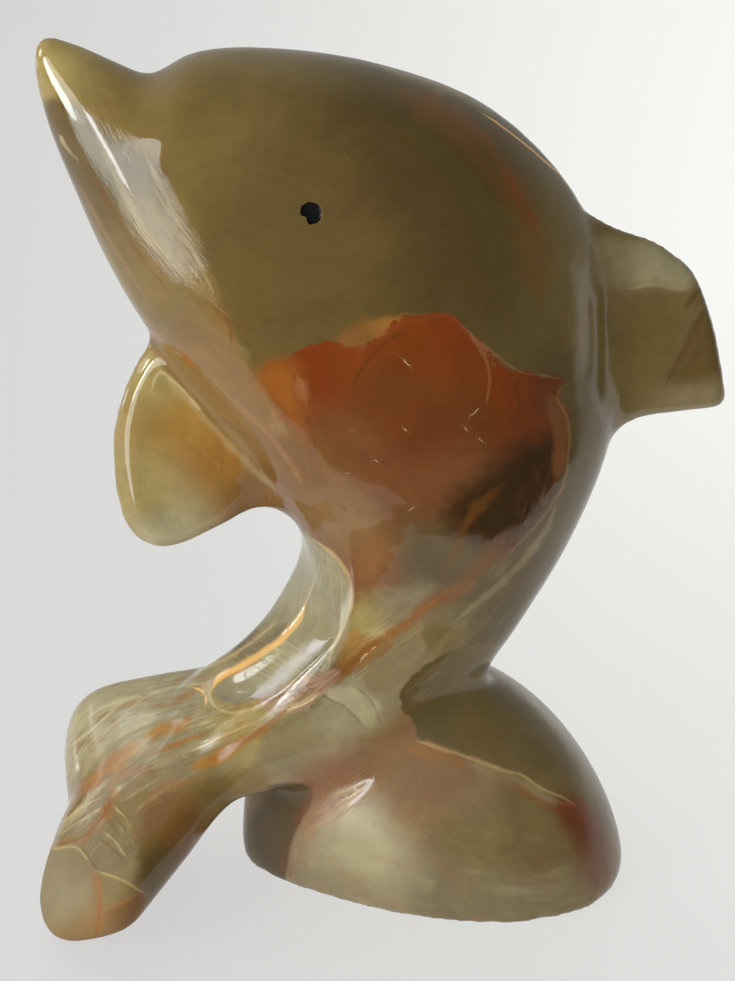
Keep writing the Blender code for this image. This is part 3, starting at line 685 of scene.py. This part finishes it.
class Graph:
    """Short ways to add nodes to a material or a world."""

    def __init__(self, owner):
        owner.use_nodes = True
        self.tree = owner.node_tree

    def add(self, kind, *sources, **settings):
        made = self.tree.nodes.new("ShaderNode" + kind)
        for name, value in settings.items():
            setattr(made, name, value)
        for socket, source in zip(made.inputs, sources):
            self.join(source, socket)
        return made

    def join(self, source, socket):
        """Links a node's or a socket's output, or sets a plain value. None leaves it as it is."""
        if source is None:
            return
        if isinstance(source, bpy.types.Node):
            source = source.outputs[0]
        if isinstance(source, bpy.types.NodeSocket):
            self.tree.links.new(source, socket)
        else:
            socket.default_value = source

    def math(self, operation, *sources, clamp=False):
        return self.add("Math", *sources, operation=operation, use_clamp=clamp)

    def swing(self, value, reach, base):
        """The base, raised and lowered as the value swings round a half."""
        return self.math("MULTIPLY_ADD", self.math("SUBTRACT", value, 0.5), reach, base)

    def attribute(self, name, output="Fac"):
        return self.add("Attribute", attribute_name=name).outputs[output]

    def noise(self, place, kind):
        made = self.add("TexNoise")
        self.join(place, made.inputs["Vector"])
        for name, value in zip(("Scale", "Detail", "Roughness", "Distortion"), NOISES[kind]):
            made.inputs[name].default_value = value
        return made

    def step(self, value, low, high):
        """0 below low and 1 above high, with a smooth rise between."""
        made = self.add("MapRange", interpolation_type="SMOOTHSTEP")
        self.join(value, made.inputs["Value"])
        self.join(low, made.inputs["From Min"])
        self.join(high, made.inputs["From Max"])
        return made

    def blend(self, share, base, top):
        made = self.add("Mix", data_type="RGBA")
        self.join(share, made.inputs["Factor"])
        self.join(base, made.inputs[6])
        self.join(top, made.inputs[7])
        return made.outputs[2]


def floor_material():
    """A pale table top with a faint painted glow, brighter towards the back right, so shadows on it stay
    faint.
    """
    material = bpy.data.materials.new("floor")
    graph = Graph(material)
    shader = graph.tree.nodes["Principled BSDF"]
    place = graph.add("SeparateXYZ", graph.add("TexCoord").outputs["Object"])
    behind = graph.math("ADD", place.outputs[1], FLOOR_FAN)
    shifted = graph.math("MULTIPLY_ADD", place.outputs[1], FLOOR_LEAN, place.outputs[0])
    sideways = graph.step(graph.math("DIVIDE", shifted, behind), *FLOOR_SIDES)
    far = graph.step(place.outputs[1], *FLOOR_DEPTHS)
    shade = graph.math("MULTIPLY", sideways, far, clamp=True)
    graph.join(graph.blend(shade, FLOOR_GLOW_DIM, FLOOR_GLOW_BRIGHT), shader.inputs["Emission Color"])
    shader.inputs["Emission Strength"].default_value = 0.985
    shader.inputs["Base Color"].default_value = (0.15, 0.15, 0.148, 1)
    shader.inputs["Roughness"].default_value = 0.9
    shader.inputs["Specular IOR Level"].default_value = 0.1
    return material


def make_studio():
    material = floor_material()
    far = [(FLOOR_EDGE[-1][0], FLOOR_REACH), (FLOOR_EDGE[0][0], FLOOR_REACH)]
    near = [(FLOOR_EDGE[0][0], FLOOR_NEAR), (FLOOR_EDGE[-1][0], FLOOR_NEAR)]
    plate("floor", FLOOR_EDGE + far, material)
    front = plate("floor_front", near + FLOOR_EDGE[::-1], material)
    front.visible_glossy = False
    world = bpy.data.worlds.new("studio")
    graph = Graph(world)
    place = graph.add("SeparateXYZ", graph.add("TexCoord").outputs["Generated"])
    behind = graph.step(place.outputs[1], *ROOM_DEPTHS)
    shade = graph.blend(behind, ROOM_FRONT, ROOM_BACK)
    graph.join(shade, graph.tree.nodes["Background"].inputs["Color"])
    bpy.context.scene.world = world
    for settings in PANELS:
        panel(*settings)


def welded(mesh):
    work = bmesh.new()
    work.from_mesh(mesh)
    bmesh.ops.remove_doubles(work, verts=work.verts, dist=1e-7)
    work.to_mesh(mesh)
    work.free()


def applied(target):
    """The object with its modifiers made part of its mesh."""
    graph = bpy.context.evaluated_depsgraph_get()
    mesh = bpy.data.meshes.new_from_object(target.evaluated_get(graph))
    target.modifiers.clear()
    target.data = mesh
    return target


def coordinates(mesh):
    points = np.empty(len(mesh.vertices) * 3)
    mesh.vertices.foreach_get("co", points)
    return points.reshape(-1, 3)


def normals_of(mesh):
    normals = np.empty(len(mesh.vertices) * 3)
    mesh.vertex_normals.foreach_get("vector", normals)
    return normals.reshape(-1, 3)


def edge_ends(mesh):
    ends = np.empty(len(mesh.edges) * 2, int)
    mesh.edges.foreach_get("vertices", ends)
    return ends.reshape(-1, 2)


def put_points(mesh, points):
    """Moves the mesh's vertices, kept within the solid's box."""
    mesh.vertices.foreach_set("co", np.clip(points, CAD_BOX[0], CAD_BOX[1]).ravel())
    mesh.update()


def to_neighbours(points, ends):
    """Each point's way to the middle of its neighbours."""
    count = np.bincount(ends.ravel(), minlength=len(points))[:, None]
    total = np.empty_like(points)
    for axis in range(3):
        line = points[:, axis]
        forth = np.bincount(ends[:, 0], weights=line[ends[:, 1]], minlength=len(points))
        back = np.bincount(ends[:, 1], weights=line[ends[:, 0]], minlength=len(points))
        total[:, axis] = forth + back
    return total / count - points


def relaxed(points, ends):
    """Points smoothed along the mesh's edges; the push keeps thin rims from shrinking."""
    for _ in range(RELAX_STEPS):
        for share in (RELAX_PULL, RELAX_PUSH):
            points = points + share * to_neighbours(points, ends)
    return points


def foremost(points, places, back):
    """Whether each point is on the surface nearest to the camera."""
    cells = np.clip(places // FRONT_CELL, 0, FRAME_HEIGHT // FRONT_CELL).astype(int)
    height = points @ back
    nearest_yet = np.full(cells.max(axis=0) + 1, -np.inf)
    np.maximum.at(nearest_yet, (cells[:, 0], cells[:, 1]), height)
    return height > nearest_yet[cells[:, 0], cells[:, 1]] - FRONT_SLACK


def carved(mesh):
    """The mesh's points with the hollows, grooves and bevel of the side that the photograph shows."""
    points = coordinates(mesh)
    normals = normals_of(mesh)
    ends = edge_ends(mesh)
    places = in_photo(points)
    back = np.array(camera_axes()[3])
    front = foremost(points, places, back)
    facing = normals @ back
    towards = (front * share_between(facing, *HOLLOW_FACING))[:, None]
    rim = (front * share_between(facing, *RIM_FACING))[:, None]
    for kind, depth, reach, line in CARVINGS:
        if kind == "dish":
            share = share_between(depth_inside(places, line), 0, reach)[:, None]
            points = points - normals * towards * depth * smooth(share)
            continue
        distance = nearest(places, rounded(line))[0][:, None]
        near = np.exp(-((distance / reach) ** 2))
        if kind == "groove":
            points = points - normals * towards * depth * near
        elif kind == "bevel":
            points = points - back * rim * depth * share_between(distance, reach, 0) ** 2
        else:
            for _ in range(SOFTEN_STEPS):
                points = points + depth * near * front[:, None] * to_neighbours(points, ends)
    return points


class Eye:
    """One drilled eye: its middle on the cheek, the directions it calls right, up and out, and
    the smooth surface through the cheek round it."""

    def __init__(self, work, side):
        self.work = work
        self.side = side
        x, z = EYE_PLACE
        skin = [
            vert for vert in work.verts
            if vert.co.y * side > 0 and math.hypot(vert.co.x - x, vert.co.z - z) < EYE_SKIN
        ]
        self.middle = sum((vert.co for vert in skin), Vector()) / len(skin)
        self.out = sum((vert.normal for vert in skin), Vector()).normalized()
        self.right = self.out.cross(UP).normalized() * -1
        self.up = (UP - self.out * self.out.z).normalized()
        ring = [self.place(vert) for vert in self.verts_within(EYE_RING_FIELD)]
        ring = [place for place in ring if EYE_RING[0] < place[3] < EYE_RING[1]]
        rows = np.array([self.terms(right, up) for right, up, _, _ in ring])
        heights = np.array([out for _, _, out, _ in ring])
        self.factors = np.linalg.lstsq(rows, heights, rcond=None)[0]

    def verts_within(self, reach):
        return [vert for vert in self.work.verts if (vert.co - self.middle).length < reach]

    def place(self, vert):
        """How far a vertex is to the right, up, out and from the pit's axis."""
        away = vert.co - self.middle
        right = away.dot(self.right)
        up = away.dot(self.up)
        return right, up, away.dot(self.out), math.hypot(right, up)

    def terms(self, right, up):
        """What a gently curved surface's height is made of."""
        right *= MILLIMETRES
        up *= MILLIMETRES
        return 1, right, up, right * right, right * up, up * up

    def refine(self):
        for reach in EYE_CUTS:
            edges = [
                edge for edge in self.work.edges
                if (edge.verts[0].co - self.middle).length < EYE_FIELD
                and all(self.place(vert)[3] < reach for vert in edge.verts)
            ]
            bmesh.ops.subdivide_edges(self.work, edges=edges, cuts=1, use_grid_fill=True)

    def rim(self, angle):
        """The pit's radius at an angle: uneven, with one notch."""
        turn = math.remainder(angle - EYE_NOTCH_ANGLE, math.tau) / EYE_NOTCH_WIDTH
        place = Vector((math.cos(angle) * EYE_RAG_SCALE, math.sin(angle) * EYE_RAG_SCALE, self.side * 5))
        chip = EYE_NOTCH * math.exp(-turn * turn) - EYE_RAGS * noise.noise(place)
        return EYE_RADIUS - chip

    def sink(self, enamel):
        """Lays the skin on the smooth surface and sinks the pit in it."""
        for vert in self.verts_within(EYE_FIELD):
            right, up, out, radius = self.place(vert)
            if radius > EYE_RING[0]:
                continue
            even = float(np.dot(self.terms(right, up), self.factors))
            level = out + (even - out) * min(1.0, (EYE_RING[0] - radius) / EYE_BLEND)
            wall = (self.rim(math.atan2(up, right)) - radius) / EYE_WALL
            wall = max(0.0, min(1.0, wall))
            level -= EYE_DEPTH * wall
            vert.co = self.middle + self.right * right + self.up * up + self.out * level
            vert[enamel] = min(1.0, wall * ENAMEL_REACH)


def stone():
    """The carving as one fine, even mesh over the solid's form."""
    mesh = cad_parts[NODE].data.copy()
    welded(mesh)
    made = bpy.data.objects.new("onyx_dolphin_stone", mesh)
    bpy.context.scene.collection.objects.link(made)
    remesh = made.modifiers.new("remesh", "REMESH")
    remesh.mode = "VOXEL"
    remesh.voxel_size = VOXEL
    applied(made)
    put_points(made.data, relaxed(coordinates(made.data), edge_ends(made.data)))
    put_points(made.data, carved(made.data))
    work = bmesh.new()
    work.from_mesh(made.data)
    work.normal_update()
    enamel = work.verts.layers.float.new("enamel")
    for side in (-1, 1):
        eye = Eye(work, side)
        eye.refine()
        eye.sink(enamel)
    work.to_mesh(made.data)
    work.free()
    made.data.shade_smooth()
    return made


def rounded(line, closed=False):
    """The line with its corners cut twice."""
    line = np.array(line, float)
    for _ in range(2):
        after = np.roll(line, -1, axis=0)
        pairs = np.stack([0.75 * line + 0.25 * after, 0.25 * line + 0.75 * after], axis=1)
        if closed:
            line = pairs.reshape(-1, 2)
        else:
            line = np.concatenate([line[:1], pairs[:-1].reshape(-1, 2), line[-1:]])
    return line


def nearest(places, line):
    """Each place's distance from a line, the side it is on, and its share of the way along."""
    best = np.full(len(places), np.inf)
    side = np.ones(len(places))
    along = np.zeros(len(places))
    spans = np.diff(line, axis=0)
    lengths = np.hypot(spans[:, 0], spans[:, 1])
    start = 0.0
    for first, span, length in zip(line[:-1], spans, lengths):
        away = places - first
        share = np.clip(away @ span / length**2, 0, 1)
        gap = away - share[:, None] * span
        distance = np.hypot(gap[:, 0], gap[:, 1])
        closer = distance < best
        best[closer] = distance[closer]
        turn = span[0] * away[:, 1] - span[1] * away[:, 0]
        side[closer] = np.sign(turn[closer])
        along[closer] = (start + share[closer] * length) / lengths.sum()
        start += length
    return best, side, along


def inside(places, outline):
    """Whether each place is inside the closed outline."""
    odd = np.zeros(len(places), bool)
    x, y = places[:, 0], places[:, 1]
    for (x0, y0), (x1, y1) in zip(outline, np.roll(outline, -1, axis=0)):
        if y0 == y1:
            continue
        crosses = (y0 > y) != (y1 > y)
        odd ^= crosses & (x < (x1 - x0) * (y - y0) / (y1 - y0) + x0)
    return odd


def depth_inside(places, outline):
    """Distance to the outline, above 0 inside it and below 0 outside."""
    outline = rounded(outline, closed=True)
    distance, _, _ = nearest(places, np.concatenate([outline, outline[:1]]))
    return np.where(inside(places, outline), distance, -distance)


def blended_tones(places, reach, tones):
    """Each place's colour, blended from a zone's few tones by how near they are."""
    total = np.zeros(len(places))
    colour = np.zeros((len(places), 3))
    for x, y, shade in tones:
        away = ((places - (x, y)) ** 2).sum(axis=1) / reach**2
        weight = 1 / (TONE_CORE + away) ** 2
        total += weight
        colour += weight[:, None] * np.array(lifted(shade)[:3])
    return colour / total[:, None]


def line_field(places, kind):
    """For one kind of line, vein or painted light: signed distance over half width, and plain distance
    in pixels.
    """
    field = np.full((len(places), 3), BEYOND)
    field[:, 2] = 0
    for name, half, points in LINES:
        if name != kind:
            continue
        line = rounded(points)
        reach = GATE[1] + half + MARGIN
        low = line.min(axis=0) - reach
        high = line.max(axis=0) + reach
        near = np.flatnonzero(np.all((places > low) & (places < high), axis=1))
        distance, side, along = nearest(places[near], line)
        ends = np.clip(np.minimum(along, 1 - along) / TAPER, THINNEST, 1)
        closer = distance - half < field[near, 1]
        chosen = near[closer]
        field[chosen, 0] = (distance * side / (half * ends))[closer]
        field[chosen, 1] = (distance - half)[closer]
    return field


def flow_field(places):
    """Distances along and across the nearest run of fibres, in pixels, and how fibrous and
    stained it is there."""
    field = np.zeros((len(places), 3))
    stained = np.zeros(len(places))
    best = np.full(len(places), np.inf)
    for reach, fibrous, stain, points in FLOWS:
        line = rounded(points)
        distance, side, along = nearest(places, line)
        length = np.hypot(*np.diff(line, axis=0).T).sum()
        closer = distance / reach < best
        best[closer] = (distance / reach)[closer]
        fade = np.clip(FLOW_FADE - distance / reach, 0, 1)
        fade = fade * np.clip(np.minimum(along, 1 - along) * FLOW_ENDS, 0, 1)
        field[closer, 0] = (along * length)[closer]
        field[closer, 1] = (distance * side)[closer]
        field[closer, 2] = (fibrous * fade)[closer]
        stained[closer] = (stain * fade)[closer]
    return field, stained


def add_attribute(mesh, name, values):
    plain = values.ndim == 1
    made = mesh.attributes.new(name, "FLOAT" if plain else "FLOAT_VECTOR", "POINT")
    made.data.foreach_set("value" if plain else "vector", values.astype(np.float32).ravel())


def pattern_places(mesh):
    """Where the pattern puts each vertex: as the photograph shows it, but wandering behind."""
    points = coordinates(mesh)
    back = np.array(camera_axes()[3])
    facing = normals_of(mesh) @ back
    hidden = smooth(share_between(facing, *WANDER_FACING))
    noise.seed_set(SEED)
    wide, fine = (
        np.array([noise.noise_vector(Vector(point) * scale)[:2] for point in points])
        for scale in (WANDER_WIDE_SCALE, WANDER_FINE_SCALE)
    )
    reach = WANDER_NEAR + (WANDER_FAR - WANDER_NEAR) * hidden[:, None]
    return in_photo(points) + wide * reach + fine * WANDER_FINE


def zone_depths(graph, mesh, places):
    """For each outlined zone, how deep inside it a place lies. One attribute holds three zones."""
    outlined = [(name, outline) for name, _, _, _, outline, _ in ZONES if outline]
    depths = {}
    for start in range(0, len(outlined), 3):
        group = outlined[start:start + 3]
        field = np.zeros((len(places), 3))
        for column, (name, outline) in enumerate(group):
            field[:, column] = depth_inside(places, outline)
        label = "in_" + "_".join(name for name, _ in group)
        add_attribute(mesh, label, field)
        parts = graph.add("SeparateXYZ", graph.attribute(label, "Vector"))
        for column, (name, _) in enumerate(group):
            depths[name] = parts.outputs[column]
    return depths


def zoned(graph, mesh, places, ragged, depths):
    """The zones' colours, each laid over the ones before it."""
    colour = None
    for name, soft, rough, reach, outline, tones in ZONES:
        if isinstance(tones, list):
            add_attribute(mesh, "tint_" + name, blended_tones(places, reach, tones))
            tint = graph.attribute("tint_" + name, "Vector")
        else:
            tint = lifted(tones)
        if outline is None:
            colour = tint
            continue
        edge = graph.swing(ragged, rough, depths[name])
        colour = graph.blend(graph.step(edge, -soft, soft), colour, tint)
    return colour


def mottled(graph, colour, place, cloud, streaks):
    """Clouds, grain, faint bands and fibres in the stone, stronger where it is milky."""
    swirl = graph.math("MULTIPLY", graph.noise(place, "swirl"), BAND_COUNT)
    bands = graph.noise(graph.add("CombineXYZ", swirl), "bands")
    milky = graph.step(graph.add("RGBToBW", colour), *MILKY)
    light = graph.swing(cloud, CLOUD_LIGHT, 1.0)
    light = graph.swing(graph.noise(place, "grain"), GRAIN_LIGHT, light)
    light = graph.swing(bands, graph.math("MULTIPLY", milky, BAND_LIGHT), light)
    curd_light = graph.math("MULTIPLY", milky, CURD_LIGHT)
    light = graph.swing(graph.noise(place, "curds"), curd_light, light)
    light = graph.math("MULTIPLY_ADD", streaks, STREAK_LIGHT, light)
    hue = graph.swing(graph.noise(place, "warmth"), HUE_TURN, 0.5)
    saturation = factor = None
    return graph.add("HueSaturation", hue, saturation, light, factor, colour)


def run_noise(graph, flow, drift, size, kind):
    """Noise drawn out along the runs of fibres."""
    parts = zip((flow.outputs[0], flow.outputs[1], drift), size)
    scaled = [graph.math("MULTIPLY", part, scale) for part, scale in parts]
    return graph.noise(graph.add("CombineXYZ", *scaled), kind)


def stained(graph, colour, flow, cloud):
    """Broad streaks of cream and ochre along the fibres."""
    streams = run_noise(graph, flow, cloud, STREAM_SIZE, "streams")
    reach = graph.attribute("stain")
    for shade, start, full, solid in STAINS:
        share = graph.math("MULTIPLY", graph.step(streams, start, full), reach)
        colour = graph.blend(graph.math("MULTIPLY", share, solid), colour, lifted(shade))
    return colour


def veins_and_painted_light(graph, mesh, colour, places, place, ragged):
    """The veins and the painted lines of light and shade over the zones. They break up, swell and fade
    as they run.
    """
    broken = graph.noise(place, "broken")
    fading = graph.step(graph.noise(place, "fading"), *FADING)
    for kind, (shade, solid, soft, loose) in VEINS_AND_PAINTED_LIGHT.items():
        add_attribute(mesh, "vein_" + kind, line_field(places, kind))
        field = graph.add("SeparateXYZ", graph.attribute("vein_" + kind, "Vector"))
        off = graph.math("ABSOLUTE", field.outputs[0])
        off = graph.swing(broken, VEIN_BREAKS * loose, off)
        off = graph.swing(ragged, VEIN_RAGS * loose, off)
        core = graph.step(off, 1 + soft, VEIN_CORE * (1 - soft))
        gate = graph.step(field.outputs[1], *reversed(GATE))
        strength = graph.math("MULTIPLY", graph.math("MULTIPLY", core, gate), solid)
        fades = VEIN_FADES * loose
        kept = graph.math("MULTIPLY_ADD", fading, fades, 1 - fades)
        strength = graph.math("MULTIPLY", strength, kept)
        colour = graph.blend(strength, colour, lifted(shade))
    return colour


def polish(graph, depths, ragged, streaks):
    """Roughness: a high polish, worn a little, dull along fibres and in the satin zones."""
    rough = graph.math("MULTIPLY_ADD", ragged, POLISH_WEAR, POLISH)
    raised = graph.math("MAXIMUM", streaks, 0.0)
    rough = graph.math("MULTIPLY_ADD", raised, POLISH_FIBRES, rough)
    for zone, softer in SATIN.items():
        satin = graph.step(depths[zone], *SATIN_EDGE)
        rough = graph.math("MULTIPLY_ADD", satin, softer, rough)
    return rough


def bumps(graph, place, streaks):
    """The faint unevenness that polishing leaves."""
    made = graph.add("Bump")
    made.inputs["Strength"].default_value = 0.12
    made.inputs["Distance"].default_value = 0.0004
    relief = graph.math("MULTIPLY_ADD", streaks, BUMP_FIBRES, graph.noise(place, "relief"))
    graph.join(relief, made.inputs["Height"])
    return made


def onyx(mesh):
    """Polished onyx: zones of colour, clouds, veins, painted highlights, reflections and shade, and
    black enamel in the eyes.
    """
    places = pattern_places(mesh)
    material = bpy.data.materials.new("onyx")
    graph = Graph(material)
    shader = graph.tree.nodes["Principled BSDF"]
    place = graph.add("TexCoord").outputs["Object"]
    ragged = graph.noise(place, "ragged")
    cloud = graph.noise(place, "cloud")

    field, stain = flow_field(places)
    add_attribute(mesh, "flow", field)
    add_attribute(mesh, "stain", stain)
    flow = graph.add("SeparateXYZ", graph.attribute("flow", "Vector"))
    fibres = run_noise(graph, flow, graph.noise(place, "drift"), FIBRE_SIZE, "fibres")
    streaks = graph.math("MULTIPLY", graph.math("SUBTRACT", fibres, 0.5), flow.outputs[2])

    depths = zone_depths(graph, mesh, places)
    colour = zoned(graph, mesh, places, ragged, depths)
    colour = stained(graph, colour, flow, cloud)
    colour = mottled(graph, colour, place, cloud, streaks)
    colour = veins_and_painted_light(graph, mesh, colour, places, place, ragged)
    colour = graph.blend(graph.attribute("enamel"), colour, ENAMEL)
    graph.join(colour, shader.inputs["Base Color"])
    graph.join(polish(graph, depths, ragged, streaks), shader.inputs["Roughness"])
    graph.join(bumps(graph, place, streaks), shader.inputs["Normal"])
    return material


def make_sculpture():
    carving = stone()
    carving.data.materials.clear()
    carving.data.materials.append(onyx(carving.data))
    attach(carving, "root")
    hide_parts(NODE)
    print("triangles", sum(len(p.vertices) - 2 for p in carving.data.polygons))


make_camera()
make_studio()
make_sculpture()
bpy.context.scene.view_settings.view_transform = "Standard"
